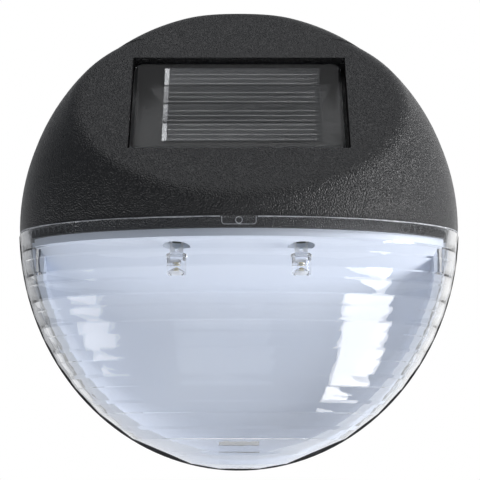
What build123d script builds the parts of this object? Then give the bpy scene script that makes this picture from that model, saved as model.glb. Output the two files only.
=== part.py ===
from build123d import *
from math import cos, pi, radians, sin, sqrt, tan
import os

# Solar wall light: a black upper shell with a sloping solar panel, a clear banded lens below it, a white reflector
# with two lamps behind the lens, and a back plate that hangs on two screws.
# Millimetres. X runs right as seen from the front, Z up, Y into the wall. Depth means distance in front of the wall.

# Outline of the body
base_radius = 55.0
low_proud = -0.1
low_stretch = 5.6
rim_depth = 7.9
rim_draft = 1.55
dome_flattening = 12.2
joint_z = -2.3

# Sloping flat on the upper shell
facet_drop = 0.3
facet_tilt = 44.2
facet_round = 5.0
housing_wall = 2.4

# Rebate where the lens meets the upper shell
rebate_clearance = 0.25
skirt_wall = 1.4
skirt_drop = 2.6
skirt_overlap = 6.0

# Lens
lens_wall = 1.8
lens_floor_rise = 0.45
lens_proud = 0.4
lens_draft = 1.0
lens_short = 0.4
lens_foot = 0.3
first_band = 7.9
band_pitch = 6.05
last_band = 0.8
lens_top_gap = 0.15
gate_width = 8.0
gate_height = 2.0
gate_sink = 0.5
gate_pip_radius = 0.85
gate_pip_height = 0.3

# Snap tongues of the lens
tongue_width = 9.2
tongue_wall = 0.7
tongue_end_depth = 0.4
tongue_top_gap = 0.7
side_tongue_inset = 6.4
low_tongue_rise = 7.2
tongue_web_gap = 0.3
barb_height = 0.5
barb_length = 1.0
tongue_clearance = 0.3
catch_gap = 0.1

# Back plate
plate = 2.5
plate_fit = 0.25

# Seal between the back plate and the upper shell
seal_height = 1.0
seal_width = 1.6
seal_edge = 0.4
ledge_height = 1.5
seal_end_z = 1.0

# Screws that hold the upper shell to the back plate
high_screw_inset = 10.36
high_screw_turn = radians(48.6)
low_screw_inset = 11.0
low_screw_z = 1.2
screw_radius = 1.05
screw_length = 8.0
screw_head_radius = 2.5
screw_head_height = 1.5
screw_sink = 0.4
screw_head_gap = 0.3
screw_boss_radius = 4.0
screw_boss_depth = 4.5
screw_post_radius = 3.2
screw_post_gap = 0.1
pilot_extra = 1.2
thread_gap = 0.02

# Shape that all screws share, as parts of the shank's radius, the head's height and the head's radius
screw_point = 0.5
screw_head_round = 0.4
cross_reach = 1.2
cross_width = 0.7
cross_depth = 0.8

# Keyholes in the back plate
keyhole_inset = 20.0
keyhole_z = 11.0
keyhole_radius = 4.2
keyhole_neck = 2.2
keyhole_travel = 7.0
keyhole_pocket_depth = 5.0
keyhole_margin = 0.8
keyhole_pocket_wall = 1.2

# Rechargeable cell, its bay and contacts
cell_radius = 5.05
cell_length = 43.6
cell_sleeve = 0.2
cell_cap_radius = 2.4
cell_cap_height = 0.9
cell_z = 17.0
bay_clearance = 0.4
bay_wall = 1.5
contact_thickness = 0.4
contact_width = 9.0
contact_tab_width = 3.0
contact_tab_reach = 3.0
contact_slot_gap = 0.05
leaf_width = 5.0
leaf_bow = 4.0
leaf_reach = 4.7

# Battery door
door_thickness = 2.0
door_sink = 0.3
door_ledge = 1.8
door_clearance = 0.3
door_corner = 2.5
door_ear_radius = 3.6
door_ear_offset = 1.4
door_seal_height = 0.7
door_screw_radius = 0.85
door_screw_length = 7.0
door_screw_head_radius = 1.9
door_screw_head_height = 1.2
door_screw_sink = 0.1
door_boss_wall = 1.8
door_pull_gap = 0.08
door_floor = 1.5
grip_count = 3
grip_pitch = 2.0
grip_length = 12.0
grip_width = 0.8
grip_depth = 0.5

# Slide switch
switch_x = -18.0
switch_z = 1.5
switch_length = 11.6
switch_height = 5.8
switch_depth = 5.0
switch_travel = 3.0
knob_length = 3.0
knob_height = 2.8
knob_tip_depth = 0.8
knob_round = 0.4
knob_foot = 1.2
knob_gap = 0.3
switch_pocket_length = 15.0
switch_pocket_height = 8.0
switch_pocket_depth = 3.5
switch_floor = 1.5
switch_cradle_wall = 1.2
switch_fit = 0.1
switch_skin = 0.6
terminal_pitch = 3.0
terminal_reach = 3.2
terminal_width = 1.2
terminal_thickness = 0.4

# Reflector dish
reflector_wall = 1.6
floor_wall = 1.3
reflector_gap = 1.3
dish_back_depth = 5.6
dish_slope = 16.0
dish_top_round = 13.0
dish_low_round = 7.0
dish_rim_depth = 12.0
dish_sections = 6
dish_end_turn = radians(75.0)
lip_height = 1.8
flange_height = 1.5
flange_gap = 0.3
lip_gap = 0.05

# Lamps
lamp_x = 14.25
lamp_setback = 7.05
lamp_drop = 2.3
lamp_hole_radius = 3.15
lamp_radius = 2.2
lamp_flange_radius = 2.45
lamp_flange_height = 0.8
lamp_length = 4.4
lamp_dimple_radius = 1.75
lamp_dimple_depth = 1.2
lamp_dimple_tip = 0.2
lead_size = 0.5
lead_pitch = 2.54
lead_inside = 1.3
lead_shoulder_width = 1.15
lead_shoulder_height = 2.1
lead_hole_radius = 0.45
anvil_height = 0.8
lead_stub = 1.0
solder_radius = 1.0
solder_tip = 0.5
solder_height = 0.8
die_radius = 0.6
die_height = 0.3

# Control board, parallel to the reflector's shelf
board_length = 46.0
board_depth = 20.0
board_thickness = 1.6
board_front = 4.0
board_lift = 4.6
board_hole_radius = 1.1
board_post_x = 19.5
board_post_y = 8.0
board_post_radius = 2.4
board_screw_radius = 0.9
board_screw_length = 4.6
board_screw_head_radius = 1.8
board_screw_head_height = 1.2
chip_length = 4.9
chip_width = 3.9
chip_height = 1.5
chip_bevel = 0.25
chip_x = 0.0
chip_y = 8.0
inductor_radius = 3.0
inductor_height = 5.5
inductor_flange = 0.9
inductor_waist = 0.7
inductor_x = -7.0
inductor_y = 5.0
capacitor_radius = 2.0
capacitor_height = 5.0
capacitor_round = 0.4
capacitor_x = -7.0
capacitor_y = 12.0

# Solar panel
recess_start = 19.5
recess_wall = 1.6
panel_sink = 0.7
panel_width = 50.6
panel_length = 34.6
panel_shift = -0.3
panel_side_gap = 0.75
panel_end_gap = 0.9
panel_board_height = 1.2
panel_coat_height = 1.8
panel_corner = 2.2
panel_coat_round = 1.2
tape_height = 0.8
tape_width = 4.0
strip_count = 4
strip_left_margin = 7.45
strip_right_margin = 5.35
strip_width = 7.1
strip_pitch = 7.45
strip_height = 0.3
strip_rise = 1.3
busbar_width = 1.1
busbar_length = 6.9
busbar_height = 0.15
wire_hole_radius = 2.2
wire_hole_x = 9.0
wire_hole_rise = 1.5

# Hook-up wire
wire_diameter = 1.0
wire_spread = 1.3
bend_share = 0.45
panel_wire_drop = 3.0
panel_wire_rise = 8.0
panel_pad_y = 9.0
battery_wire_rise = 9.0
battery_pad_x = 17.0
battery_pad_y = 13.5
switch_wire_rise = 5.0
switch_pad_x = -10.0
switch_pad_y = 13.0

# Sizes that follow from the values above
low_half_width = base_radius + low_proud
low_drop = base_radius + low_stretch
dome_depth = base_radius - dome_flattening
facet_start = base_radius - facet_drop
lens_drop = low_drop - lens_short
side_tongue_x = base_radius - side_tongue_inset
low_tongue_z = lens_drop - low_tongue_rise
keyhole_x = base_radius - keyhole_inset
bay_half_length = (cell_length + cell_cap_height + leaf_reach) / 2 + contact_thickness
recess_width = panel_width + 2 * panel_side_gap
recess_length = panel_length + 2 * panel_end_gap
strip_length = panel_width - strip_left_margin - strip_right_margin
strip_shift = panel_shift + (strip_left_margin - strip_right_margin) / 2
wire_hole_down = panel_end_gap + panel_length - tape_width - wire_hole_rise
bay_half_height = cell_radius + cell_sleeve + bay_clearance
door_inner_depth = door_sink + door_thickness
ledge_depth = door_inner_depth + door_seal_height
cell_depth = ledge_depth + bay_clearance + cell_radius + cell_sleeve
bay_depth = cell_depth + cell_radius + cell_sleeve + bay_clearance
recess_depth = panel_sink + panel_coat_height + panel_board_height + tape_height
recess_middle = recess_start + recess_length / 2
lip_top_z = joint_z - skirt_drop - lip_gap
dish_top_z = lip_top_z - lip_height
lens_bottom = lens_drop - lens_foot
lens_top = joint_z - lens_top_gap
lens_ridges = 1 + int((lens_bottom + lens_top - first_band - last_band) / band_pitch)
switch_back_depth = switch_pocket_depth + switch_floor
tongue_top_z = joint_z - tongue_top_gap
tongue_root_depth = dish_rim_depth + tongue_web_gap + tongue_wall
skirt_inset = lens_wall - lens_proud + rebate_clearance
dish_half_width = base_radius - rim_draft + lens_proud - lens_wall - reflector_gap - reflector_wall
dish_lip_depth = rim_depth + dome_depth - skirt_inset - skirt_wall - reflector_wall
dish_low_z = -(lens_drop - lens_wall - reflector_gap - reflector_wall)
lamp_depth = dish_lip_depth - lamp_setback
high_screw_x = (base_radius - high_screw_inset) * cos(high_screw_turn)
high_screw_z = (base_radius - high_screw_inset) * sin(high_screw_turn)
low_screw_x = base_radius - low_screw_inset
screw_spots = [
    (-high_screw_x, high_screw_z),
    (high_screw_x, high_screw_z),
    (-low_screw_x, low_screw_z),
    (low_screw_x, low_screw_z),
]
screw_seat = screw_sink + screw_head_height
door_screw_seat = door_sink + door_screw_sink + door_screw_head_height
door_screw_offset = bay_half_height + door_ledge + door_ear_offset
door_screw_spots = [(0, cell_z - door_screw_offset), (0, cell_z + door_screw_offset)]
wall_at_plate = rim_draft * plate / rim_depth
wall_at_ledge = rim_draft * (plate + seal_height + ledge_height) / rim_depth
plate_radius = base_radius - housing_wall - wall_at_plate - plate_fit
seal_radius = base_radius - housing_wall - wall_at_ledge - seal_edge

# Reach of the cutting solids
big = 400.0
through = 1.0


def at_depth(depth):
    return Plane.XZ.offset(depth)


def slab(sketch, near, far):
    return extrude(at_depth(near) * sketch, amount=far - near)


def block(low_x, high_x, near, far, low_z, high_z):
    middle = Pos((low_x + high_x) / 2, -(near + far) / 2, (low_z + high_z) / 2)
    return middle * Box(high_x - low_x, far - near, high_z - low_z)


def rod(x, z, radius, near, far):
    return slab(Pos(x, z) * Circle(radius), near, far)


def below(z):
    return Pos(0, 0, z - big / 2) * Box(big, big, big)


def above(z):
    return Pos(0, 0, z + big / 2) * Box(big, big, big)


facet = Plane(
    origin=(0, 0, facet_start),
    x_dir=(1, 0, 0),
    z_dir=(0, -cos(radians(facet_tilt)), sin(radians(facet_tilt))),
)


def behind_facet(inset):
    return facet * Pos(0, 0, -inset - big / 2) * Box(big, big, big)


def on_facet(x, down, height):
    return facet.from_local_coords((x, -down, height))


# Solid turned from a rim line and a quarter ellipse, with its seam at the bottom
def turned(rim_line, rim_radius, depth):
    tip = -rim_depth - depth
    front = Bezier((rim_radius, -rim_depth), (rim_radius, tip), (0, tip), weights=[1, sqrt(0.5), 1])
    sides = Polyline((0, tip), *rim_line, (rim_radius, -rim_depth))
    return Rot(0, 90, 0) * revolve(make_face([sides, front]), Axis.Y)


# Body of the upper shell, with its skin drawn in by an inset
def dome(inset, back=0.0):
    back_radius = base_radius - inset
    lead_in = [(back_radius, back)] if back > 0 else []
    rim_line = [(0, back), *lead_in, (back_radius, 0)]
    return turned(rim_line, base_radius - rim_draft - inset, dome_depth - inset)


# Half ellipse below the joint, seen from the front
def low_outline(half_width, drop):
    arc = EllipticalCenterArc((0, 0), half_width, drop, start_angle=180, arc_size=180)
    return make_face([arc, Line((half_width, 0), (-half_width, 0))])


# Pan head screw along local Z, head up, seat at the origin
def screw(radius, length, head_radius, head_height):
    shank = Pos(0, 0, -length / 2) * Cylinder(radius, length)
    tip = shank.edges().sort_by(Axis.Z)[0]
    shank = chamfer(tip, radius * screw_point)
    head = Pos(0, 0, head_height / 2) * Cylinder(head_radius, head_height)
    head = fillet(head.edges().sort_by(Axis.Z)[-1], head_height * screw_head_round)
    cross_length = head_radius * cross_reach
    slot = Pos(0, 0, head_height - cross_depth / 2) * Box(cross_length, cross_width, cross_depth)
    return shank + head - slot - Rot(0, 0, 90) * slot


# Place on the back face, local Z towards the wall
def from_wall(x, z, depth):
    return Plane(origin=(x, -depth, z), x_dir=(1, 0, 0), z_dir=(0, 1, 0))



# Upper shell

def facet_z(inset, depth):
    reach = facet_start * sin(radians(facet_tilt)) - inset
    return (reach - depth * cos(radians(facet_tilt))) / sin(radians(facet_tilt))


def in_recess(width, length, near, far, shift=0.0):
    return facet * Pos(shift, -recess_middle, -(near + far) / 2) * Box(width, length, far - near)


# Strip just inside the edge of the upper shell, with a straight run along its top
def edge_band(radius, top_z, width):
    ring = Circle(radius) & Pos(0, top_z - big / 2) * Rectangle(big, big)
    inner = Circle(radius - width) & Pos(0, top_z - width - big / 2) * Rectangle(big, big)
    return (ring - inner) & Pos(0, seal_end_z + big / 2) * Rectangle(big, big)


seal_top_z = facet_z(housing_wall, plate + seal_height + ledge_height) - seal_edge


# Trims a solid at the sloping flat and rounds the edge over
def flattened(solid):
    solid = solid & behind_facet(0)
    flat = [f for f in solid.faces().filter_by(GeomType.PLANE) if f.normal_at().dot(facet.z_dir) > 0.999][0]
    return fillet(flat.edges(), facet_round)


# Solid body of the upper shell: dome, sloping flat and flared rim
def upper_body():
    rim_radius = base_radius - rim_draft
    core = flattened(turned([(0, big), (rim_radius, big)], rim_radius, dome_depth))
    core = core & block(-big, big, 0, big, -big, big) & above(joint_z)
    slope = rim_draft / rim_depth
    flare_back = facet_round * 2
    flare_front = rim_depth + facet_round * 3
    flare_edges = Polyline(
        (0, flare_back),
        (base_radius + flare_back * slope, flare_back),
        (base_radius - flare_front * slope, -flare_front),
        (0, -flare_front),
        close=True,
    )
    flare = flattened(Rot(0, 90, 0) * revolve(make_face(flare_edges), Axis.Y))
    return core + (flare & block(-big, big, 0, rim_depth, -big, big) & above(joint_z))


def front_housing():
    body = upper_body()
    shell = body - (dome(housing_wall, back=through) & behind_facet(housing_wall))
    ledge_near = plate + seal_height
    ledge_far = ledge_near + ledge_height
    skirt = dome(skirt_inset) - dome(skirt_inset + skirt_wall, back=through)
    skirt_half = side_tongue_x - tongue_clearance
    skirt &= block(-skirt_half, skirt_half, ledge_far, big, joint_z - skirt_drop, joint_z + skirt_overlap)
    shell += skirt & behind_facet(housing_wall / 2)
    box_width = recess_width + 2 * recess_wall
    box_length = recess_length + 2 * recess_wall
    shell += in_recess(box_width, box_length, 0, recess_depth + recess_wall) & body
    ledge = Circle(big) - Circle(seal_radius - seal_width)
    ledge += Pos(0, seal_top_z - seal_width + big / 2) * Rectangle(big, big)
    ledge &= Pos(0, seal_end_z + big / 2) * Rectangle(big, big)
    shell += slab(ledge, ledge_near, ledge_far) & body
    for x, z in screw_spots:
        shell += rod(x, z, screw_post_radius, screw_boss_depth + screw_post_gap, big / 4) & body
    shell -= in_recess(recess_width, recess_length, -facet_round, recess_depth)
    for x, z in screw_spots:
        shell -= rod(x, z, screw_radius + thread_gap, screw_boss_depth, screw_seat + screw_length + pilot_extra)
    hole = facet * Pos(wire_hole_x, -recess_start - wire_hole_down, -recess_depth)
    return shell - hole * Cylinder(wire_hole_radius, 4 * recess_wall)


def housing_seal():
    return slab(edge_band(seal_radius, seal_top_z, seal_width), plate, plate + seal_height)


# Lens

# Slice of the lens's skin, drawn in by an inset and raised so that the inner bands run parallel to the outer ones
def lens_slice(z, inset, back):
    share = 1 - inset / base_radius
    scale = sqrt(1 - (z / lens_drop) ** 2)
    rim_half = base_radius - rim_draft + lens_proud
    rim_x = rim_half * scale * share
    back_x = (rim_half + lens_draft) * scale * share
    front = (dome_depth + lens_proud) * scale * share
    rim_y = -rim_depth + inset - (1 - share) * front / share
    edges = [
        Line((-back_x, -back), (back_x, -back)),
        Line((back_x, -back), (rim_x, rim_y)),
        EllipticalCenterArc((0, rim_y), rim_x, front, start_angle=270, arc_size=90),
        EllipticalCenterArc((0, rim_y), rim_x, front, start_angle=180, arc_size=90),
        Line((-rim_x, rim_y), (-back_x, -back)),
    ]
    return Plane.XY.offset(z + lens_floor_rise * inset) * make_face(edges)


# Heights of the ridges between the lens's horizontal bands
def band_heights():
    return [lens_top] + [lens_top - first_band - band_pitch * k for k in range(lens_ridges)] + [-lens_bottom]


def tongue_bar(clearance, near, far, outward):
    half = tongue_width / 2 + clearance
    return block(-half, half, near, far, -tongue_wall - clearance - outward, clearance)


# Places of the three tongues: local Z points into the lens
def tongue_places():
    middle_z = tongue_top_z - tongue_width / 2
    left = Plane(origin=(-side_tongue_x, 0, middle_z), x_dir=(0, 0, -1), z_dir=(1, 0, 0))
    right = Plane(origin=(side_tongue_x, 0, middle_z), x_dir=(0, 0, 1), z_dir=(-1, 0, 0))
    low = Plane(origin=(0, 0, -low_tongue_z), x_dir=(1, 0, 0), z_dir=(0, 0, 1))
    return [left, right, low]


def snap_tongue():
    arm = tongue_bar(0, tongue_end_depth, tongue_root_depth, 0)
    barb_edges = Polyline(
        (-tongue_end_depth, -tongue_wall),
        (-tongue_end_depth - barb_length, -tongue_wall),
        (-tongue_end_depth - barb_length, -tongue_wall - barb_height),
        close=True,
    )
    barb = extrude(Plane.YZ * make_face(barb_edges), amount=tongue_width / 2, both=True)
    return arm + barb


# Space inside the lens, drawn in from its outer skin by an inset
def lens_hollow(inset):
    heights = [lens_top + lens_wall] + band_heights()[1:]
    return loft([lens_slice(z, inset, plate - lens_wall) for z in heights], ruled=True)


def lens():
    heights = band_heights()
    blank = loft([lens_slice(z, 0, plate) for z in heights], ruled=True)
    shell = blank - lens_hollow(lens_wall)
    behind = block(-big, big, -big, plate, -big, big)
    for place in tongue_places():
        arm = place * snap_tongue()
        web = place * tongue_bar(0, tongue_root_depth - tongue_wall, tongue_root_depth, big)
        shell += (arm & blank) + (arm & behind) + (web & blank)
    front = rim_depth + dome_depth + lens_proud
    gate_floor = front - gate_sink
    gate_low = heights[0] - gate_height
    shell -= block(-gate_width / 2, gate_width / 2, gate_floor, big, gate_low, big)
    pip_z = heights[0] - gate_height / 2
    return shell + rod(0, pip_z, gate_pip_radius, gate_floor - gate_pip_height, gate_floor + gate_pip_height)


# Reflector

lamp_tilt = radians(dish_slope)


def dish_share(x):
    return sqrt(1 - (x / dish_half_width) ** 2)


# Height of the reflector's sloping shelf, whose edge follows the lens
def shelf_z(x, depth):
    lip_depth = rim_depth + (dish_lip_depth - rim_depth) * dish_share(x)
    return dish_top_z - (lip_depth - depth) * tan(lamp_tilt)


# Cross section of the dish at a distance from the middle: sloping shelf, back wall and floor, with rounded turns
def dish_slice(x):
    share = dish_share(x)
    lip = rim_depth + (dish_lip_depth - rim_depth) * share
    back = rim_depth + (dish_back_depth - rim_depth) * share
    low = dish_low_z * share
    front = dish_lip_depth + dish_low_round
    size = (dish_top_z - low) / (dish_top_z - dish_low_z)
    top_round = dish_top_round * size
    low_round = dish_low_round * size
    turn = pi / 2 - lamp_tilt
    run = top_round * tan(turn / 2)
    elbow_z = dish_top_z - (lip - back) * tan(lamp_tilt)
    shelf_end = (-back - run * cos(lamp_tilt), elbow_z + run * sin(lamp_tilt))
    bend = (-back - top_round * (1 - cos(turn / 2)), elbow_z - run + top_round * sin(turn / 2))
    wall_start = (-back, elbow_z - run)
    wall_end = (-back, low + low_round)
    low_turn = low_round * (1 - cos(pi / 4))
    low_bend = (-back - low_turn, low + low_turn)
    low_end = (-back - low_round, low)
    edges = [
        Line((-lip, dish_top_z), shelf_end),
        ThreePointArc(shelf_end, bend, wall_start),
        Line(wall_start, wall_end),
        ThreePointArc(wall_end, low_bend, low_end),
        Polyline(low_end, (-front, low), (-front, dish_top_z), (-lip, dish_top_z)),
    ]
    return Plane.YZ.offset(x) * make_face(edges)


# Hollow of the dish, through sections that crowd towards its narrow ends
def dish_hollow():
    steps = [sin(dish_end_turn * k / dish_sections) for k in range(-dish_sections, dish_sections + 1)]
    return loft([dish_slice(dish_half_width * step) for step in steps])


def shelf_plan(grow):
    half = dish_half_width + grow
    front = dish_lip_depth - rim_depth + grow
    arc = EllipticalCenterArc((0, -rim_depth), half, front, start_angle=180, arc_size=180)
    sides = Polyline((half, -rim_depth), (half, -plate), (-half, -plate), (-half, -rim_depth))
    return make_face([arc, sides])


lamp_z = shelf_z(lamp_x, lamp_depth)


# Frame square to the lamps: local Z points up out of the shelf, local Y back along it
def shelf_plane(x):
    return Plane(origin=(x, -lamp_depth, lamp_z), x_dir=(1, 0, 0), z_dir=(0, sin(lamp_tilt), cos(lamp_tilt)))


def upright(x, y, radius, low, high):
    return shelf_plane(0) * Pos(x, y, (low + high) / 2) * Cylinder(radius, high - low)


def reflector():
    hollow = dish_hollow()
    plan = extrude(Plane.XY.offset(dish_low_z) * shelf_plan(reflector_wall), amount=lip_top_z - dish_low_z)
    body = Pos(0, reflector_wall, reflector_wall) * hollow & plan
    floor = Pos(0, reflector_wall, -floor_wall) * hollow
    body += floor & block(-big, big, plate, dish_rim_depth, -big, dish_top_z)
    half = dish_half_width + reflector_wall
    drop = -dish_low_z + reflector_wall
    rim = low_outline(half, drop) - low_outline(half - 2 * reflector_wall, drop - 2 * reflector_wall)
    body += slab(rim, plate, dish_rim_depth) & below(lip_top_z)
    foot = Rectangle(big, big) - low_outline(half - reflector_wall, drop - reflector_wall)
    body += slab(foot, plate, plate + flange_height) & lens_hollow(lens_wall + flange_gap) & below(lip_top_z)
    lip = shelf_plan(reflector_wall) - shelf_plan(0)
    body += extrude(Plane.XY.offset(dish_top_z) * lip, amount=lip_height)
    for x in (-board_post_x, board_post_x):
        body += upright(x, board_post_y, board_post_radius, 0, board_lift)
    body -= hollow
    for x in (-board_post_x, board_post_x):
        body -= upright(x, board_post_y, board_screw_radius + thread_gap, reflector_wall, big)
    for x in (-lamp_x, lamp_x):
        body -= upright(x, 0, lamp_hole_radius, -board_lift, board_lift)
    for place in tongue_places():
        body -= place * tongue_bar(tongue_clearance, -through, big, 0)
        body -= place * tongue_bar(tongue_clearance, dish_rim_depth, big, big)
    return body


# Lamps

def lamp_leads(x):
    top = board_lift + board_thickness + lead_stub
    low = -lamp_drop - lead_inside
    middle = (top + low) / 2
    place = shelf_plane(x)
    leads = [
        place * Pos(side * lead_pitch / 2, 0, middle) * Box(lead_size, lead_size, top - low)
        for side in (-1, 1)
    ]
    shoulder_x = (lead_pitch + lead_size - lead_shoulder_width) / 2
    shoulder_z = -lamp_drop + lead_shoulder_height / 2
    shoulder = Box(lead_shoulder_width, lead_size, lead_shoulder_height)
    leads = [
        lead + place * Pos(side * shoulder_x, 0, shoulder_z) * shoulder
        for lead, side in zip(leads, (-1, 1))
    ]
    anvil_right = die_radius
    anvil_left = -(lead_pitch + lead_size) / 2
    anvil = Pos((anvil_left + anvil_right) / 2, 0, low - anvil_height / 2)
    leads[0] += place * anvil * Box(anvil_right - anvil_left, lead_size, anvil_height)
    return leads


def lamp_die(x):
    low = -lamp_drop - lead_inside - anvil_height
    return shelf_plane(x) * Pos(0, 0, low - die_height / 2) * Cylinder(die_radius, die_height)


def lamp_body(x):
    tip = -lamp_drop - lamp_length
    barrel = Pos(0, 0, -lamp_drop - lamp_length / 2) * Cylinder(lamp_radius, lamp_length)
    barrel += Pos(0, 0, -lamp_drop - lamp_flange_height / 2) * Cylinder(lamp_flange_radius, lamp_flange_height)
    dimple = Cone(lamp_dimple_radius, lamp_dimple_tip, lamp_dimple_depth)
    barrel -= Pos(0, 0, tip + lamp_dimple_depth / 2) * dimple
    body = shelf_plane(x) * barrel
    for lead in lamp_leads(x):
        body -= lead
    return body - lamp_die(x)


# Control board and what stands on it

board_top = board_lift + board_thickness


def on_board(x, y, height=0.0):
    return shelf_plane(0) * Pos(x, y, board_top + height)


def solder_joints():
    joints = []
    for lamp in (-lamp_x, lamp_x):
        for side, lead in zip((-1, 1), lamp_leads(lamp)):
            place = on_board(lamp + side * lead_pitch / 2, 0, solder_height / 2)
            joints.append(place * Cone(solder_radius, solder_tip, solder_height) - lead)
    return Compound(children=joints)


def control_board():
    middle_y = board_depth / 2 - board_front
    board = on_board(0, middle_y, -board_thickness / 2) * Box(board_length, board_depth, board_thickness)
    for x in (-board_post_x, board_post_x):
        board -= upright(x, board_post_y, board_hole_radius, 0, big)
    for lamp in (-lamp_x, lamp_x):
        for side in (-1, 1):
            board -= upright(lamp + side * lead_pitch / 2, 0, lead_hole_radius, 0, big)
    return board


def board_screws():
    one = screw(board_screw_radius, board_screw_length, board_screw_head_radius, board_screw_head_height)
    return Compound(children=[on_board(x, board_post_y) * one for x in (-board_post_x, board_post_x)])


def driver_chip():
    body = Box(chip_length, chip_width, chip_height)
    return on_board(chip_x, chip_y, chip_height / 2) * chamfer(body.edges().group_by(Axis.Z)[-1], chip_bevel)


def inductor():
    waist = Cylinder(inductor_radius - inductor_waist, inductor_height)
    ends = inductor_height / 2 - inductor_flange / 2
    flanges = [Pos(0, 0, side * ends) * Cylinder(inductor_radius, inductor_flange) for side in (-1, 1)]
    return on_board(inductor_x, inductor_y, inductor_height / 2) * (waist + flanges[0] + flanges[1])


def capacitor():
    can = Cylinder(capacitor_radius, capacitor_height)
    can = fillet(can.edges().sort_by(Axis.Z)[-1], capacitor_round)
    return on_board(capacitor_x, capacitor_y, capacitor_height / 2) * can


# Solar panel

board_near = panel_sink + panel_coat_height
board_far = board_near + panel_board_height
strip_near = board_near - strip_height


def panel_board():
    board = in_recess(panel_width, panel_length, board_near, board_far, panel_shift)
    return fillet(board.edges().filter_by(Axis((0, 0, 0), facet.z_dir)), panel_corner)


def panel_tape():
    outer = in_recess(panel_width, panel_length, board_far, recess_depth, panel_shift)
    inner_width = panel_width - 2 * tape_width
    inner_length = panel_length - 2 * tape_width
    return outer - in_recess(inner_width, inner_length, board_far, recess_depth, panel_shift)


# Heights of the strips' middles along the panel, from the top down
def strip_offsets():
    return [strip_rise + strip_pitch * ((strip_count - 1) / 2 - k) for k in range(strip_count)]


def strip_solids():
    return [
        facet * Pos(strip_shift, offset - recess_middle, -(strip_near + board_near) / 2)
        * Box(strip_length, strip_width, strip_height)
        for offset in strip_offsets()
    ]


def busbar_solids():
    left = strip_shift - strip_length / 2 + busbar_width / 2
    height = -strip_near + busbar_height / 2
    return [
        facet * Pos(left, offset - recess_middle, height) * Box(busbar_width, busbar_length, busbar_height)
        for offset in strip_offsets()
    ]


def panel_resin():
    coat = in_recess(panel_width, panel_length, panel_sink, board_near, panel_shift)
    coat = fillet(coat.edges().filter_by(Axis((0, 0, 0), facet.z_dir)), panel_corner)
    top = coat.edges().group_by(Axis((0, 0, 0), facet.z_dir))[-1]
    coat = fillet(top, panel_coat_round)
    for solid in strip_solids() + busbar_solids():
        coat -= solid
    return coat


# Rechargeable cell, contacts and door

plus_x = bay_half_length - contact_thickness
can_right = plus_x - cell_cap_height
can_left = can_right - cell_length


def along_x(radius, left, right):
    place = Plane(origin=((left + right) / 2, -cell_depth, cell_z), x_dir=(0, 1, 0), z_dir=(1, 0, 0))
    return place * Cylinder(radius, right - left)


def battery_sleeve():
    return along_x(cell_radius + cell_sleeve, can_left, can_right) - along_x(cell_radius, can_left, can_right)


def contact_plate(inner_x, outer_x):
    half = contact_width / 2
    low_x = min(inner_x, outer_x)
    high_x = max(inner_x, outer_x)
    plate_near = cell_depth - half
    tab_far = bay_depth + bay_wall + contact_tab_reach
    sheet = block(low_x, high_x, plate_near, bay_depth, cell_z - half, cell_z + half)
    tab_half = contact_tab_width / 2
    return sheet + block(low_x, high_x, bay_depth, tab_far, cell_z - tab_half, cell_z + tab_half)


def contact_positive():
    return contact_plate(plus_x, bay_half_length)


# Stamped plate with a bowed leaf that presses on the cell
def contact_negative():
    root_x = -bay_half_length + contact_thickness
    near = cell_depth - leaf_bow
    far = cell_depth + leaf_bow
    outer = ThreePointArc((root_x, -near), (can_left, -cell_depth), (root_x, -far))
    inner = ThreePointArc(
        (root_x, -near - contact_thickness),
        (can_left - contact_thickness, -cell_depth),
        (root_x, -far + contact_thickness),
    )
    ends = [
        Line((root_x, -near), (root_x, -near - contact_thickness)),
        Line((root_x, -far), (root_x, -far + contact_thickness)),
    ]
    leaf = Plane.XY.offset(cell_z) * make_face([outer, inner, *ends])
    return contact_plate(-bay_half_length, root_x) + extrude(leaf, amount=leaf_width / 2, both=True)


def bay_shape(grow):
    return Pos(0, cell_z) * Rectangle(2 * (bay_half_length + grow), 2 * (bay_half_height + grow))


def door_shape(grow):
    width = 2 * (bay_half_length + door_ledge + grow)
    height = 2 * (bay_half_height + door_ledge + grow)
    shape = Pos(0, cell_z) * RectangleRounded(width, height, door_corner)
    for x, z in door_screw_spots:
        shape += Pos(x, z) * Circle(door_ear_radius + grow)
    return shape


def battery_door():
    door = slab(door_shape(0), door_sink, door_inner_depth)
    for x, z in door_screw_spots:
        door -= rod(x, z, door_screw_head_radius + screw_head_gap, 0, door_screw_seat)
        door -= rod(x, z, door_screw_radius + door_pull_gap, 0, door_inner_depth)
    for k in range(grip_count):
        low = cell_z + grip_pitch * (k - (grip_count - 1) / 2) - grip_width / 2
        door -= block(-grip_length / 2, grip_length / 2, 0, door_sink + grip_depth, low, low + grip_width)
    return door


def door_seal():
    shape = door_shape(0) - bay_shape(0)
    for x, z in door_screw_spots:
        shape -= Pos(x, z) * Circle(door_screw_radius + door_clearance)
    return slab(shape, door_inner_depth, ledge_depth)


def door_screws():
    one = screw(door_screw_radius, door_screw_length, door_screw_head_radius, door_screw_head_height)
    return Compound(children=[from_wall(x, z, door_screw_seat) * one for x, z in door_screw_spots])


def housing_screws():
    one = screw(screw_radius, screw_length, screw_head_radius, screw_head_height)
    return Compound(children=[from_wall(x, z, screw_seat) * one for x, z in screw_spots])


# Slide switch

cavity_near = switch_back_depth + switch_skin
cavity_far = cavity_near + knob_foot + 2 * knob_gap


def switch_block(length, height, near, far, shift=0.0):
    x = switch_x + shift
    return block(x - length / 2, x + length / 2, near, far, switch_z - height / 2, switch_z + height / 2)


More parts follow.
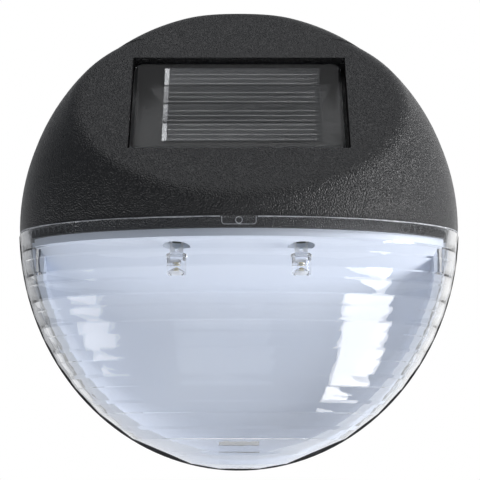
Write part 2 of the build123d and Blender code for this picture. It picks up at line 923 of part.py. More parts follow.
def switch_body():
    body = switch_block(switch_length, switch_height, switch_back_depth, switch_back_depth + switch_depth)
    stem_length = knob_length + switch_travel + 2 * knob_gap
    body -= switch_block(stem_length, knob_height + 2 * knob_gap, switch_back_depth, cavity_near)
    foot_length = knob_length + 2 * knob_foot + switch_travel + 2 * knob_gap
    foot_height = knob_height + knob_foot + 2 * knob_gap
    return body - switch_block(foot_length, foot_height, cavity_near, cavity_far)


def switch_knob():
    shift = -switch_travel / 2
    foot_near = cavity_near + knob_gap
    knob = switch_block(knob_length, knob_height, knob_tip_depth, foot_near, shift)
    foot_length = knob_length + 2 * knob_foot
    foot = switch_block(foot_length, knob_height + knob_foot, foot_near, foot_near + knob_foot, shift)
    tip = fillet(knob.edges().group_by(Axis.Y)[-1], knob_round)
    return tip + foot


def switch_terminals():
    near = switch_back_depth + switch_depth
    pins = [
        switch_block(terminal_thickness, terminal_width, near, near + terminal_reach, side * terminal_pitch)
        for side in (-1, 0, 1)
    ]
    return Compound(children=pins)


# Back plate

def keyhole_shape(x):
    shape = Pos(x, keyhole_z) * Circle(keyhole_radius)
    shape += Pos(x, keyhole_z + keyhole_travel / 2) * Rectangle(2 * keyhole_neck, keyhole_travel)
    return shape + Pos(x, keyhole_z + keyhole_travel) * Circle(keyhole_neck)


def keyhole_pocket(x, grow):
    half = keyhole_radius + keyhole_margin + grow
    low = keyhole_z - half
    high = keyhole_z + keyhole_travel + half
    return Pos(x, (low + high) / 2) * Rectangle(2 * half, high - low)


def plate_blank():
    upper = slab(Circle(plate_radius), 0, plate) & above(joint_z - plate_fit)
    upper &= behind_facet(housing_wall + plate_fit)
    return upper + (slab(low_outline(low_half_width, low_drop), 0, plate) & below(joint_z - plate_fit))


def rear_tray():
    tray = plate_blank()
    pocket_far = plate + keyhole_pocket_depth
    for x in (-keyhole_x, keyhole_x):
        tray += slab(keyhole_pocket(x, keyhole_pocket_wall), 0, pocket_far + keyhole_pocket_wall)
    for x, z in screw_spots:
        tray += rod(x, z, screw_boss_radius, 0, screw_boss_depth)
    tray += slab(door_shape(door_clearance + bay_wall), 0, ledge_depth + door_floor)
    tray += slab(bay_shape(bay_wall), 0, bay_depth + bay_wall)
    pilot_far = door_screw_seat + door_screw_length + pilot_extra
    for x, z in door_screw_spots:
        tray += rod(x, z, door_screw_radius + door_boss_wall, 0, pilot_far + door_boss_wall)
    pocket_grow = 2 * switch_floor
    tray += switch_block(
        switch_pocket_length + pocket_grow, switch_pocket_height + pocket_grow, 0, switch_back_depth
    )
    cradle_far = switch_back_depth + switch_depth / 2
    cradle_grow = 2 * (switch_fit + switch_cradle_wall)
    tray += switch_block(
        switch_length + cradle_grow, switch_height + cradle_grow, switch_back_depth, cradle_far
    )
    for x in (-keyhole_x, keyhole_x):
        tray -= slab(keyhole_pocket(x, 0), plate, pocket_far)
        tray -= slab(keyhole_shape(x), 0, plate)
    for x, z in screw_spots:
        tray -= rod(x, z, screw_head_radius + screw_head_gap, 0, screw_seat)
        tray -= rod(x, z, screw_radius + thread_gap, 0, screw_boss_depth)
    tray -= slab(door_shape(door_clearance), 0, ledge_depth)
    tray -= slab(bay_shape(0), 0, bay_depth)
    for x, z in door_screw_spots:
        tray -= rod(x, z, door_screw_radius + door_pull_gap, 0, pilot_far)
    tab_half = contact_tab_width / 2 + contact_slot_gap
    for low_x in (-bay_half_length, plus_x):
        high_x = low_x + contact_thickness
        tray -= block(
            low_x - contact_slot_gap, high_x + contact_slot_gap, bay_depth, big, cell_z - tab_half, cell_z + tab_half
        )
    tray -= switch_block(switch_pocket_length, switch_pocket_height, 0, switch_pocket_depth)
    stem_length = knob_length + switch_travel + 2 * knob_gap
    tray -= switch_block(stem_length, knob_height + 2 * knob_gap, 0, switch_back_depth)
    tray -= switch_block(
        switch_length + 2 * switch_fit, switch_height + 2 * switch_fit, switch_back_depth, cradle_far
    )
    for place in tongue_places():
        tray -= place * tongue_bar(tongue_clearance, -through, big, 0)
        barb_room = tongue_end_depth + barb_length + catch_gap
        tray -= place * tongue_bar(tongue_clearance, -through, barb_room, barb_height)
    return tray


# Hook-up wires, with bends as wide as their runs allow
def wire(points):
    spots = [Vector(*p) for p in points]
    radii = []
    for before, here, after in zip(spots, spots[1:], spots[2:]):
        turn = radians((here - before).get_angle(after - here))
        shorter = min((here - before).length, (after - here).length)
        radii.append(bend_share * shorter / tan(turn / 2))
    path = FilletPolyline(*spots, radius=radii)
    start = Plane(origin=path @ 0, z_dir=path % 0)
    return sweep(start * Circle(wire_diameter / 2), path=path)


def board_point(x, y, height=0.0):
    return shelf_plane(0).from_local_coords((x, y, board_top + height))


def panel_wire(side):
    x = wire_hole_x + side * wire_spread / 2
    down = recess_start + wire_hole_down
    entry = on_facet(x, down, -recess_depth - recess_wall - panel_wire_drop)
    pad = board_point(x + side, panel_pad_y)
    return wire([on_facet(x, down, -board_far), entry, board_point(x + side, panel_pad_y, panel_wire_rise), pad])


def battery_wire(side, contact_x):
    start_x = contact_x - side * (contact_thickness + wire_diameter / 2)
    tab_depth = bay_depth + bay_wall + contact_tab_reach / 2
    tab_end = tab_depth + contact_tab_reach
    pad = board_point(side * battery_pad_x, battery_pad_y)
    above_pad = board_point(side * battery_pad_x, battery_pad_y, battery_wire_rise)
    return wire([(start_x, -tab_depth, cell_z), (start_x, -tab_end, cell_z), above_pad, pad])


def switch_wire(side):
    x = switch_x + side * terminal_pitch + terminal_thickness / 2 + wire_diameter / 2
    tip = switch_back_depth + switch_depth + terminal_reach
    pad_x = switch_pad_x + side * terminal_pitch
    pad = board_point(pad_x, switch_pad_y)
    above_pad = board_point(pad_x, switch_pad_y, switch_wire_rise)
    return wire([(x, -tip + terminal_reach / 2, switch_z), (x, -tip - terminal_reach, switch_z), above_pad, pad])


nodes = {
    "rear_tray": rear_tray(),
    "front_housing": front_housing(),
    "housing_seal": housing_seal(),
    "housing_screws": housing_screws(),
    "lens": lens(),
    "reflector": reflector(),
    "control_board": control_board(),
    "solder_joints": solder_joints(),
    "board_screws": board_screws(),
    "driver_chip": driver_chip(),
    "inductor": inductor(),
    "capacitor": capacitor(),
    "panel_board": panel_board(),
    "panel_tape": panel_tape(),
    "solar_cells": Compound(children=strip_solids()),
    "cell_busbars": Compound(children=busbar_solids()),
    "panel_resin": panel_resin(),
    "panel_wire_red": panel_wire(1),
    "panel_wire_black": panel_wire(-1),
    "battery_can": along_x(cell_radius, can_left, can_right),
    "battery_cap": along_x(cell_cap_radius, can_right, plus_x),
    "battery_sleeve": battery_sleeve(),
    "contact_positive": contact_positive(),
    "contact_negative": contact_negative(),
    "battery_wire_red": battery_wire(1, bay_half_length),
    "battery_wire_black": battery_wire(-1, -bay_half_length),
    "battery_door": battery_door(),
    "door_seal": door_seal(),
    "door_screws": door_screws(),
    "switch_body": switch_body(),
    "switch_knob": switch_knob(),
    "switch_terminals": switch_terminals(),
    "switch_wire_left": switch_wire(-1),
    "switch_wire_right": switch_wire(0),
}
for side, x in (("left", -lamp_x), ("right", lamp_x)):
    nodes[f"led_{side}"] = lamp_body(x)
    nodes[f"led_{side}_leads"] = Compound(children=lamp_leads(x))
    nodes[f"led_{side}_die"] = lamp_die(x)

os.makedirs("parts", exist_ok=True)
for name, shape in nodes.items():
    export_step(shape, f"parts/{name}.step")
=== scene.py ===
import bmesh
import bpy
from math import cos, pi, radians, sin, sqrt
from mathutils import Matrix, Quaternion, Vector


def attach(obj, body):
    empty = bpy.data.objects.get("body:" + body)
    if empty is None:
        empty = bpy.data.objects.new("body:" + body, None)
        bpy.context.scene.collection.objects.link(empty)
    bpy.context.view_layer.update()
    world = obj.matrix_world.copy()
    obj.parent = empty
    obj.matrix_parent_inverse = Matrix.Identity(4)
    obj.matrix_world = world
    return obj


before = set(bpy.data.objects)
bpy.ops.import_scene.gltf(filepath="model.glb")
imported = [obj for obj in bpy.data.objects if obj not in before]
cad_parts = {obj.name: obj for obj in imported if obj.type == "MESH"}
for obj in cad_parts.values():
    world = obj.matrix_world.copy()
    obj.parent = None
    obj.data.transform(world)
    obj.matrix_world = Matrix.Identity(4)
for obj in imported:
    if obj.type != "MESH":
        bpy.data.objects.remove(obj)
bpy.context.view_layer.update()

# Back plate, injection moulded in black plastic with a fine satin skin left by the mould.
# It hangs on two wall screws and carries every other piece.
mm = 0.001
noise_low = 0.3
noise_high = 0.7


def new_finish(name):
    finish = bpy.data.materials.new(name)
    finish.use_nodes = True
    tree = finish.node_tree
    return finish, tree, tree.nodes["Principled BSDF"]


# The scale counts specks in a metre.
def speckle(tree, scale, detail=3.0, stretch=(1.0, 1.0, 1.0)):
    place = tree.nodes.new("ShaderNodeTexCoord")
    sizing = tree.nodes.new("ShaderNodeMapping")
    sizing.inputs["Scale"].default_value = stretch
    tree.links.new(place.outputs["Object"], sizing.inputs["Vector"])
    grain = tree.nodes.new("ShaderNodeTexNoise")
    grain.inputs["Scale"].default_value = scale
    grain.inputs["Detail"].default_value = detail
    tree.links.new(sizing.outputs["Vector"], grain.inputs["Vector"])
    return grain.outputs["Fac"]


def shade_between(tree, height, socket, dark, light, low=noise_low, high=noise_high):
    ramp = tree.nodes.new("ShaderNodeValToRGB")
    ramp.color_ramp.elements[0].position = low
    ramp.color_ramp.elements[0].color = (*dark, 1.0)
    ramp.color_ramp.elements[1].position = high
    ramp.color_ramp.elements[1].color = (*light, 1.0)
    tree.links.new(height, ramp.inputs["Fac"])
    tree.links.new(ramp.outputs["Color"], socket)


def spread(tree, value, low, high, start=0.0, end=1.0, easing="LINEAR"):
    node = tree.nodes.new("ShaderNodeMapRange")
    node.interpolation_type = easing
    node.inputs["From Min"].default_value = low
    node.inputs["From Max"].default_value = high
    node.inputs["To Min"].default_value = start
    node.inputs["To Max"].default_value = end
    tree.links.new(value, node.inputs["Value"])
    return node.outputs["Result"]


def vary(tree, height, socket, start, end):
    tree.links.new(spread(tree, height, noise_low, noise_high, start, end), socket)


def raise_grain(tree, height, socket, strength, depth):
    skin = tree.nodes.new("ShaderNodeBump")
    skin.inputs["Strength"].default_value = strength
    skin.inputs["Distance"].default_value = depth
    tree.links.new(height, skin.inputs["Height"])
    tree.links.new(skin.outputs["Normal"], socket)


def moulded_plastic(name, dark, light, roughness, grain_scale, grain_strength):
    cloud_scale = 60.0
    cloud_swing = 0.06
    grain_depth = 0.1 * mm
    finish, tree, shader = new_finish(name)
    grain = speckle(tree, grain_scale)
    shade_between(tree, grain, shader.inputs["Base Color"], dark, light)
    cloud = speckle(tree, cloud_scale)
    dulling = shader.inputs["Roughness"]
    vary(tree, cloud, dulling, roughness - cloud_swing, roughness + cloud_swing)
    raise_grain(tree, grain, shader.inputs["Normal"], grain_strength, grain_depth)
    return finish


def dress(finish, *names):
    for name in names:
        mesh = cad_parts[name].data
        mesh.materials.clear()
        mesh.materials.append(finish)


tray_black = moulded_plastic("tray_black", (0.010, 0.010, 0.011), (0.018, 0.018, 0.020),
                             roughness=0.42, grain_scale=1800.0, grain_strength=0.35)
dress(tray_black, "rear_tray")

# Slide switch in the back plate: a moulded body with tinned terminals, and a knob that a
# fingernail moves. Raised letters on the floor of its pocket say which way is on.
switch_black = moulded_plastic("switch_black", (0.012, 0.012, 0.012), (0.022, 0.022, 0.022),
                               roughness=0.55, grain_scale=2600.0, grain_strength=0.3)
dress(switch_black, "switch_body")
knob_black = moulded_plastic("knob_black", (0.020, 0.020, 0.022), (0.034, 0.034, 0.037),
                             roughness=0.38, grain_scale=2200.0, grain_strength=0.2)
dress(knob_black, "switch_knob")


def plated_metal(name, dark, light, roughness, stretch=(1.0, 1.0, 1.0)):
    line_scale = 900.0
    line_detail = 4.0
    brighter, duller = 0.08, 0.1
    line_strength = 0.12
    line_depth = 0.05 * mm
    finish, tree, shader = new_finish(name)
    lines = speckle(tree, line_scale, line_detail, stretch)
    shade_between(tree, lines, shader.inputs["Base Color"], dark, light)
    vary(tree, lines, shader.inputs["Roughness"], roughness - brighter, roughness + duller)
    shader.inputs["Metallic"].default_value = 1.0
    raise_grain(tree, lines, shader.inputs["Normal"], line_strength, line_depth)
    return finish


tinned = plated_metal("tinned", (0.84, 0.84, 0.84), (0.95, 0.95, 0.95), roughness=0.42)
dress(tinned, "switch_terminals")

pocket_floor = -3.45
letters_foot = 3.6
letter_size = 1.9
letter_raise = 0.1
facing_back = (radians(90), 0, radians(180))


def raised_word(word, x):
    foot = (x * mm, pocket_floor * mm, letters_foot * mm)
    bpy.ops.object.text_add(location=foot, rotation=facing_back)
    lettering = bpy.context.object
    lettering.data.body = word
    lettering.data.size = letter_size * mm
    lettering.data.extrude = letter_raise * mm
    lettering.data.align_x = "CENTER"
    bpy.ops.object.convert(target="MESH")
    letters = bpy.context.object
    letters.name = "switch_word_" + word.lower()
    letters.data.materials.clear()
    letters.data.materials.append(tray_black)
    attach(letters, "housing")


raised_word("OFF", x=-21.4)
raised_word("ON", x=-14.6)

# Rechargeable cell in its shrink sleeve, lying across the bay between a flat contact and a
# bowed leaf. Can, cap and contacts are nickel plated steel with faint drawing lines.
nickel = plated_metal("nickel", (0.52, 0.50, 0.46), (0.70, 0.68, 0.64),
                      roughness=0.26, stretch=(0.2, 2.0, 2.0))
dress(nickel, "battery_can", "battery_cap", "contact_positive", "contact_negative")
sleeve_green = moulded_plastic("sleeve_green", (0.025, 0.17, 0.06), (0.04, 0.24, 0.09),
                               roughness=0.28, grain_scale=500.0, grain_strength=0.1)
dress(sleeve_green, "battery_sleeve")

# Battery door, the same black plastic as the back plate, with its foam strip and two screws.
# All of it lifts off the back together.
dress(tray_black, "battery_door")
foam_black = moulded_plastic("foam_black", (0.010, 0.010, 0.010), (0.040, 0.040, 0.040),
                             roughness=0.9, grain_scale=2600.0, grain_strength=0.9)
dress(foam_black, "door_seal")
zinc = plated_metal("zinc", (0.42, 0.43, 0.45), (0.62, 0.62, 0.62), roughness=0.3)
dress(zinc, "door_screws")

# Reflector, smooth white plastic with a cool cast. Its lip stands behind the shell's skirt,
# and its flange lies on the back plate inside the lens.
cool_white, tree, shader = new_finish("cool_white")
flow = speckle(tree, scale=45.0)
shade_between(tree, flow, shader.inputs["Base Color"],
              dark=(0.765, 0.815, 0.915), light=(0.795, 0.845, 0.935))
vary(tree, flow, shader.inputs["Roughness"], start=0.36, end=0.46)
raise_grain(tree, flow, shader.inputs["Normal"], strength=0.06, depth=0.4 * mm)
dress(cool_white, "reflector")

# Lamps, cast in clear epoxy round tinned leads, with a phosphor dot. A pale cone with a rough
# finish lines the hollow tip as a painted reflection, standing in for the bright light the tip
# throws back. The leads' shoulders stand on the body's back, and their ends are soldered into
# the board.


def combine(tree, operation, one, two):
    node = tree.nodes.new("ShaderNodeMath")
    node.operation = operation
    for socket, value in zip(node.inputs, (one, two)):
        if isinstance(value, float):
            socket.default_value = value
        else:
            tree.links.new(value, socket)
    return node.outputs["Value"]


# Shadows and the light on what lies behind pass straight through a clear piece.
def clear_cast(name, dark, light, roughness, index):
    flow_scale = 90.0
    finish, tree, shader = new_finish(name)
    flow = speckle(tree, flow_scale)
    shade_between(tree, flow, shader.inputs["Base Color"], dark, light)
    shader.inputs["Roughness"].default_value = roughness
    shader.inputs["IOR"].default_value = index
    shader.inputs["Transmission Weight"].default_value = 1.0
    passing = tree.nodes.new("ShaderNodeBsdfTransparent")
    shade_between(tree, flow, passing.inputs["Color"], dark, light)
    path = tree.nodes.new("ShaderNodeLightPath").outputs
    straight = combine(tree, "MAXIMUM", path["Is Shadow Ray"], path["Is Diffuse Ray"])
    choose = tree.nodes.new("ShaderNodeMixShader")
    tree.links.new(straight, choose.inputs["Fac"])
    tree.links.new(shader.outputs["BSDF"], choose.inputs[1])
    tree.links.new(passing.outputs["BSDF"], choose.inputs[2])
    tree.links.new(choose.outputs["Shader"], tree.nodes["Material Output"].inputs["Surface"])
    return finish, tree, shader, flow


epoxy, tree, shader, flow = clear_cast("epoxy", (0.95, 0.96, 0.97), (0.99, 0.99, 1.0),
                                       roughness=0.0, index=1.52)
raise_grain(tree, flow, shader.inputs["Normal"], strength=0.05, depth=0.3 * mm)
dress(epoxy, "led_left", "led_right")
dress(tinned, "led_left_leads", "led_right_leads")
phosphor = moulded_plastic("phosphor", (0.62, 0.54, 0.30), (0.80, 0.72, 0.46),
                           roughness=0.6, grain_scale=4000.0, grain_strength=0.4)
dress(phosphor, "led_left_die", "led_right_die")

# Pale grey-white for the cone in each lamp's hollow tip: a painted reflection of the light the
# tip throws back.
painted_tip_reflection, tree, shader = new_finish("painted_tip_reflection")
scuff = speckle(tree, scale=700.0)
shade_between(tree, scuff, shader.inputs["Base Color"],
              dark=(0.55, 0.57, 0.62), light=(0.88, 0.89, 0.92))
vary(tree, scuff, shader.inputs["Roughness"], start=0.35, end=0.6)
raise_grain(tree, scuff, shader.inputs["Normal"], strength=0.5, depth=0.1 * mm)


def piece_from(name, points, faces, finish, body):
    mesh = bpy.data.meshes.new(name)
    mesh.from_pydata([Vector(p) * mm for p in points], [], faces)
    shape = bmesh.new()
    shape.from_mesh(mesh)
    bmesh.ops.recalc_face_normals(shape, faces=shape.faces)
    shape.to_mesh(mesh)
    shape.free()
    mesh.materials.append(finish)
    obj = bpy.data.objects.new(name, mesh)
    bpy.context.collection.objects.link(obj)
    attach(obj, body)


# Each section is a closed outline. The last joins the first in a loop, and otherwise both
# ends are capped.
def swept(name, sections, loop, finish):
    width = len(sections[0])
    count = len(sections)
    points = [point for section in sections for point in section]
    faces = []
    for k in range(count if loop else count - 1):
        here = k * width
        there = (k + 1) % count * width
        for j in range(width):
            beside = (j + 1) % width
            faces.append((here + j, here + beside, there + beside, there + j))
    if not loop:
        faces.append(tuple(range(width)))
        faces.append(tuple((count - 1) * width + j for j in range(width)))
    piece_from(name, points, faces, finish, "housing")


lamp_hole_x = 14.25
lamp_hole_y = -39.0
lamp_hole_z = -8.302
lamp_lean = radians(16.0)
lamp_down = Vector((0, -sin(lamp_lean), -cos(lamp_lean)))
lamp_front = Vector((0, -cos(lamp_lean), sin(lamp_lean)))
rightward = Vector((1, 0, 0))
tip_sides = 32
# The cone's stations, each a distance below the hole and a radius.
tip_profile = ((5.54, 0.16), (6.60, 1.55), (6.66, 1.45))
# Thin pale cones lining the lamps' hollow tips, a painted reflection where the tip throws
# light back.
for side, lamp_name in ((-1, "lamp_tip_left"), (1, "lamp_tip_right")):
    hole = Vector((lamp_hole_x * side, lamp_hole_y, lamp_hole_z))
    rings = []
    for along, radius in tip_profile:
        ring = []
        for k in range(tip_sides):
            turn = 2 * pi * k / tip_sides
            outward = cos(turn) * rightward + sin(turn) * lamp_front
            ring.append(hole + lamp_down * along + radius * outward)
        rings.append(ring)
    swept(lamp_name, rings, False, painted_tip_reflection)

# Control board under a green mask, screwed to the reflector's posts, with a driver chip in
# black epoxy, a ferrite inductor and an electrolytic capacitor in a blue sleeve. Solder holds
# the lamps' leads and the wires.
mask_green = moulded_plastic("mask_green", (0.010, 0.085, 0.030), (0.020, 0.140, 0.055),
                             roughness=0.34, grain_scale=420.0, grain_strength=0.1)
dress(mask_green, "control_board")
chip_black = moulded_plastic("chip_black", (0.012, 0.012, 0.012), (0.026, 0.026, 0.026),
                             roughness=0.6, grain_scale=3200.0, grain_strength=0.4)
dress(chip_black, "driver_chip")
ferrite = moulded_plastic("ferrite", (0.030, 0.029, 0.028), (0.060, 0.058, 0.056),
                          roughness=0.5, grain_scale=2400.0, grain_strength=0.5)
dress(ferrite, "inductor")
sleeve_blue = moulded_plastic("sleeve_blue", (0.020, 0.040, 0.150), (0.030, 0.060, 0.210),
                              roughness=0.3, grain_scale=700.0, grain_strength=0.1)
dress(sleeve_blue, "capacitor")
dress(tinned, "solder_joints")
dress(zinc, "board_screws")

# Lens, moulded in clear plastic as ten sloping bands, each a little crowned. It snaps into the
# back plate with three tongues. The marks of its gate are frosted. Along its cut top edge lies
# a frosted strip whose pale grey is painted highlight, standing in for the light the edge
# catches.
lens_clear, tree, shader, flow = clear_cast("lens_clear", (0.965, 0.975, 0.99),
                                            (0.985, 0.99, 1.0), roughness=0.015, index=1.49)
band_top = -10.35 * mm
band_pitch = 6.05 * mm
ripple_share = 0.25
place = tree.nodes.new("ShaderNodeTexCoord")
axes = tree.nodes.new("ShaderNodeSeparateXYZ")
tree.links.new(place.outputs["Object"], axes.inputs["Vector"])
from_top = combine(tree, "SUBTRACT", band_top, axes.outputs["Z"])
along_band = combine(tree, "PINGPONG", from_top, band_pitch / 2)
crown = spread(tree, along_band, 0.0, band_pitch, easing="SMOOTHERSTEP")
ripple = combine(tree, "MULTIPLY", flow, ripple_share)
surface = combine(tree, "ADD", crown, ripple)
raise_grain(tree, surface, shader.inputs["Normal"], strength=1.0, depth=0.25 * mm)
dress(lens_clear, "lens")

# Pale grey: on the strips along the lens's top edge it is painted highlight, on the gate marks
# their frosted finish.
gate_marks_and_edge_highlight = moulded_plastic("gate_marks_and_edge_highlight", (0.30, 0.31, 0.33), (0.62, 0.63, 0.66),
                           roughness=0.45, grain_scale=700.0, grain_strength=0.5)
lens_half_width = 53.81
lens_reach = 43.16
lens_back = 7.9
edge_top = -2.46
edge_low = -2.66
edge_wall = 0.3
edge_proud = 0.02
edge_steps = 80
gate_end = 4.25 / lens_half_width
# Strips along the lens's top edge, pale grey as a painted highlight of the light the edge
# catches.
for side, edge_name in ((-1, "lens_edge_highlight_left"), (1, "lens_edge_highlight_right")):
    sections = []
    for k in range(edge_steps + 1):
        across = 1 - (1 - gate_end) * (k / edge_steps) ** 2
        deep = sqrt(1 - across ** 2)
        out_x = lens_half_width * across + edge_proud * across
        out_y = lens_back + lens_reach * deep + edge_proud * deep
        in_x = out_x - edge_wall * across
        in_y = out_y - edge_wall * deep
        slow_waver = 0.06 * sin(9 * across + side)
        quick_waver = 0.04 * sin(31 * across)
        low = edge_low - slow_waver - quick_waver
        sections.append([
            (side * in_x, -in_y, edge_top),
            (side * out_x, -out_y, edge_top),
            (side * out_x, -out_y, low),
            (side * in_x, -in_y, low),
        ])
    swept(edge_name, sections, False, gate_marks_and_edge_highlight)

gate_half = 3.95
gate_top = -2.5
gate_low = -4.4
gate_corner = 0.7
corner_steps = 8
line_width = 0.15
line_back = -50.59
line_face = -50.65
corner_x = -gate_half + gate_corner
corner_z = gate_low + gate_corner
bends = [((-gate_half, gate_top), (1, 0))]
for k in range(corner_steps + 1):
    turn = pi / 2 * k / corner_steps
    inward = (cos(turn), sin(turn))
    bend = (corner_x - gate_corner * inward[0], corner_z - gate_corner * inward[1])
    bends.append((bend, inward))
bends += [((-x, z), (-inward[0], inward[1])) for (x, z), inward in reversed(bends)]
sections = []
for (x, z), inward in bends:
    inner_x = x + line_width * inward[0]
    inner_z = z + line_width * inward[1]
    sections.append([
        (x, line_back, z),
        (x, line_face, z),
        (inner_x, line_face, inner_z),
        (inner_x, line_back, inner_z),
    ])
swept("gate_outline", sections, False, gate_marks_and_edge_highlight)

ring_middle = -3.45
ring_inner, ring_outer = 0.66, 0.82
ring_back, ring_face = -50.89, -50.93
ring_sides = 40
ring_outline = (
    (ring_inner, ring_back),
    (ring_inner, ring_face),
    (ring_outer, ring_face),
    (ring_outer, ring_back),
)
sections = []
for k in range(ring_sides):
    turn = 2 * pi * k / ring_sides
    section = []
    for radius, y in ring_outline:
        section.append((radius * cos(turn), y, ring_middle + radius * sin(turn)))
    sections.append(section)
swept("gate_ring", sections, True, gate_marks_and_edge_highlight)

# Upper shell, moulded in black plastic with a fine pebbled grain all over its outside.
# It drops over the back plate's rim onto a foam cord and is screwed on from behind.
shell_black, tree, shader = new_finish("shell_black")
pebbles = speckle(tree, scale=2900.0, detail=0.0)
shade_between(tree, pebbles, shader.inputs["Base Color"],
              dark=(0.008, 0.008, 0.009), light=(0.018, 0.018, 0.019))
vary(tree, pebbles, shader.inputs["Roughness"], start=0.40, end=0.32)
raise_grain(tree, pebbles, shader.inputs["Normal"], strength=1.0, depth=0.3 * mm)
dress(shell_black, "front_housing")
dress(foam_black, "housing_seal")
dress(zinc, "housing_screws")

# Solar panel: a black board with four dark silicon strips, silver collector bars and thin
# printed fingers, all under a clear resin coat. Foam tape holds it in the shell's recess.
panel_black = moulded_plastic("panel_black", (0.003, 0.003, 0.004), (0.007, 0.007, 0.008),
                              roughness=0.4, grain_scale=900.0, grain_strength=0.1)
shader = panel_black.node_tree.nodes["Principled BSDF"]
shader.inputs["Specular IOR Level"].default_value = 0.0
dress(panel_black, "panel_board")
silicon, tree, shader = new_finish("silicon")
crystal = speckle(tree, scale=260.0, detail=2.0, stretch=(0.25, 1.0, 1.0))
shade_between(tree, crystal, shader.inputs["Base Color"],
              dark=(0.030, 0.032, 0.036), light=(0.048, 0.050, 0.055))
vary(tree, crystal, shader.inputs["Roughness"], start=0.35, end=0.5)
shader.inputs["Specular IOR Level"].default_value = 0.0
dress(silicon, "solar_cells")
silver = plated_metal("silver", (0.90, 0.90, 0.90), (0.97, 0.97, 0.97), roughness=0.2)
dress(silver, "cell_busbars")
resin, tree, shader, flow = clear_cast("resin", (0.93, 0.94, 0.95), (0.97, 0.975, 0.98),
                                       roughness=0.3, index=1.22)
raise_grain(tree, flow, shader.inputs["Normal"], strength=0.05, depth=0.3 * mm)
dress(resin, "panel_resin")
dress(foam_black, "panel_tape")

slope = radians(44.2)
slope_top = 54.7
cell_face = -2.2
strip_count = 4
strip_pitch = 7.45
strips_middle = 36.4
finger_ends = (-17.05, 18.3)
finger_half = 0.02
finger_outline = (
    (-finger_half, -finger_half),
    (-finger_half, finger_half),
    (finger_half, finger_half),
    (finger_half, -finger_half),
)
strip_fingers = (-0.9, 0.95, 2.8)
last_strip_fingers = (-2.8, -0.93, 0.93, 2.8)
finger_points = []
finger_faces = []


def on_slope(x, down, height):
    y = -down * sin(slope) - height * cos(slope)
    z = slope_top - down * cos(slope) + height * sin(slope)
    return (x, y, z)


for strip in range(strip_count):
    middle = strips_middle + strip_pitch * (strip - (strip_count - 1) / 2)
    for step in strip_fingers if strip < strip_count - 1 else last_strip_fingers:
        start = len(finger_points)
        for x in finger_ends:
            for down, height in finger_outline:
                finger_points.append(on_slope(x, middle + step + down, cell_face + height))
        finger_faces.append(tuple(range(start, start + 4)))
        finger_faces.append(tuple(range(start + 4, start + 8)))
        for j in range(4):
            beside = (j + 1) % 4
            finger_faces.append((start + j, start + beside, start + 4 + beside, start + 4 + j))
piece_from("cell_fingers", finger_points, finger_faces, silver, "housing")

# Hook-up wires in coloured insulation, from the panel, the cell and the switch to the board.
# They are soldered at both ends.
wire_red = moulded_plastic("wire_red", (0.36, 0.010, 0.010), (0.52, 0.020, 0.018),
                           roughness=0.42, grain_scale=1500.0, grain_strength=0.15)
dress(wire_red, "panel_wire_red", "battery_wire_red")
wire_black = moulded_plastic("wire_black", (0.010, 0.010, 0.010), (0.022, 0.022, 0.022),
                             roughness=0.42, grain_scale=1500.0, grain_strength=0.15)
dress(wire_black, "panel_wire_black", "battery_wire_black")
wire_white = moulded_plastic("wire_white", (0.66, 0.66, 0.64), (0.80, 0.80, 0.78),
                             roughness=0.45, grain_scale=1500.0, grain_strength=0.15)
dress(wire_white, "switch_wire_left", "switch_wire_right")

# Pale floor, well below because the light hangs on a wall in use, and a white backdrop. What
# the light mirrors of the backdrop dims to the left and is shaded straight behind it. The room
# is dim, a shade brighter to the right, with soft panels right, left, above and below.
floor_size = 4.0
floor_height = -0.42
floor_glow = (0.55, 0.55, 0.55, 1.0)


def ways_seen(tree):
    path = tree.nodes.new("ShaderNodeLightPath").outputs
    mirrored = combine(tree, "MAXIMUM", path["Is Glossy Ray"], path["Is Transmission Ray"])
    return path["Is Camera Ray"], mirrored


bpy.ops.mesh.primitive_plane_add(size=floor_size, location=(0, 0, floor_height))
floor = bpy.context.object
floor.name = "floor"
floor_pale = moulded_plastic("floor_pale", (0.78, 0.78, 0.78), (0.82, 0.82, 0.82),
                             roughness=0.8, grain_scale=3.0, grain_strength=0.0)
tree = floor_pale.node_tree
direct, mirrored = ways_seen(tree)
seen = combine(tree, "MAXIMUM", direct, mirrored)
shader = tree.nodes["Principled BSDF"]
shader.inputs["Emission Color"].default_value = floor_glow
tree.links.new(seen, shader.inputs["Emission Strength"])
floor.data.materials.append(floor_pale)

world = bpy.data.worlds.new("room")
bpy.context.scene.world = world
world.use_nodes = True
tree = world.node_tree
room = tree.nodes["Background"]
room.inputs["Strength"].default_value = 1.0
backdrop = tree.nodes.new("ShaderNodeBackground")
backdrop.inputs["Color"].default_value = (1, 1, 1, 1)
backdrop.inputs["Strength"].default_value = 1.0
way = tree.nodes.new("ShaderNodeTexCoord")
axes = tree.nodes.new("ShaderNodeSeparateXYZ")
tree.links.new(way.outputs["Generated"], axes.inputs["Vector"])
to_right = axes.outputs["X"]
shade_between(tree, spread(tree, to_right, -1.0, 1.0), room.inputs["Color"],
              dark=(0.15, 0.16, 0.175), light=(0.45, 0.46, 0.48), low=0.25, high=0.9)
behind = spread(tree, axes.outputs["Y"], 0.6, 0.9)
dimmed_left = spread(tree, to_right, -0.1, 0.25, start=0.35, end=0.95)
sideways = combine(tree, "ABSOLUTE", to_right, 0.0)
shaded_middle = spread(tree, sideways, 0.025, 0.07, start=0.15, end=1.0)
backdrop_share = combine(tree, "MULTIPLY", behind, dimmed_left)
backdrop_share = combine(tree, "MULTIPLY", backdrop_share, shaded_middle)
direct, mirrored = ways_seen(tree)
seen = combine(tree, "MAXIMUM", direct, combine(tree, "MULTIPLY", mirrored, backdrop_share))
either = tree.nodes.new("ShaderNodeMixShader")
tree.links.new(seen, either.inputs["Fac"])
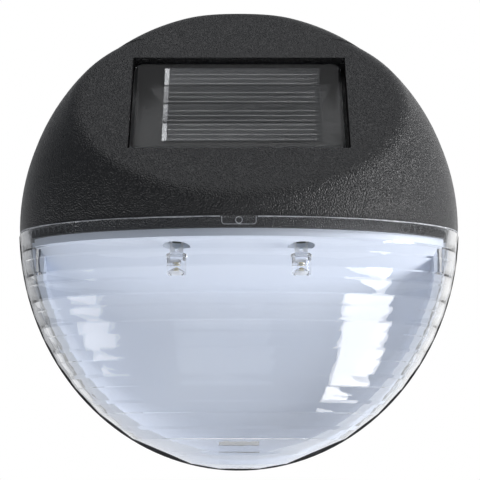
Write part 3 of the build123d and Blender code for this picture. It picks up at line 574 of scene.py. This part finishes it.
tree.links.new(room.outputs["Background"], either.inputs[1])
tree.links.new(backdrop.outputs["Background"], either.inputs[2])
tree.links.new(either.outputs["Shader"], tree.nodes["World Output"].inputs["Surface"])

light_middle = Vector((0, -0.02, -0.01))
white = (1.0, 1.0, 1.0)
cool = (0.88, 0.94, 1.0)


# A panel stands at a bearing and a height round the light, in degrees, and faces its middle.
def soft_panel(name, bearing, rise, distance, width, height, radiance, lean=0.0, tint=white):
    data = bpy.data.lights.new(name, "AREA")
    data.shape = "RECTANGLE"
    data.size = width
    data.size_y = height
    data.energy = radiance * width * height * pi
    data.color = tint
    lamp = bpy.data.objects.new(name, data)
    turn = radians(bearing)
    lift = radians(rise)
    out = Vector((sin(turn) * cos(lift), -cos(turn) * cos(lift), sin(lift)))
    lamp.location = out * distance + light_middle
    facing = out.to_track_quat("Z", "Y")
    lamp.rotation_euler = (facing @ Quaternion((0, 0, 1), radians(lean))).to_euler()
    bpy.context.collection.objects.link(lamp)


soft_panel("right_panel", bearing=78.0, rise=-35.0, distance=0.38,
           width=0.17, height=0.31, radiance=6.4, lean=42.0)
soft_panel("left_panel", bearing=-88.0, rise=-29.0, distance=0.38,
           width=0.15, height=0.12, radiance=2.4)
soft_panel("key", bearing=84.0, rise=20.0, distance=0.9,
           width=0.36, height=0.28, radiance=14.0)
soft_panel("low_front", bearing=-10.0, rise=-50.0, distance=0.38,
           width=0.28, height=0.19, radiance=0.5, tint=cool)
soft_panel("top", bearing=0.0, rise=86.0, distance=0.9,
           width=0.9, height=0.5, radiance=1.35)

# Camera at the photograph's viewing angle, in front of the light and a little below it. Its
# lens and place make the light as large in the frame as it is there.
camera_data = bpy.data.cameras.new("camera")
camera_data.lens = 148.1
camera_data.sensor_width = 36.0
camera = bpy.data.objects.new("camera", camera_data)
camera.location = (0.0, -0.4934, -0.0505)
camera.rotation_euler = (radians(95.486), 0.0, radians(-0.031))
bpy.context.collection.objects.link(camera)
bpy.context.scene.camera = camera
bpy.context.scene.view_settings.view_transform = "Standard"
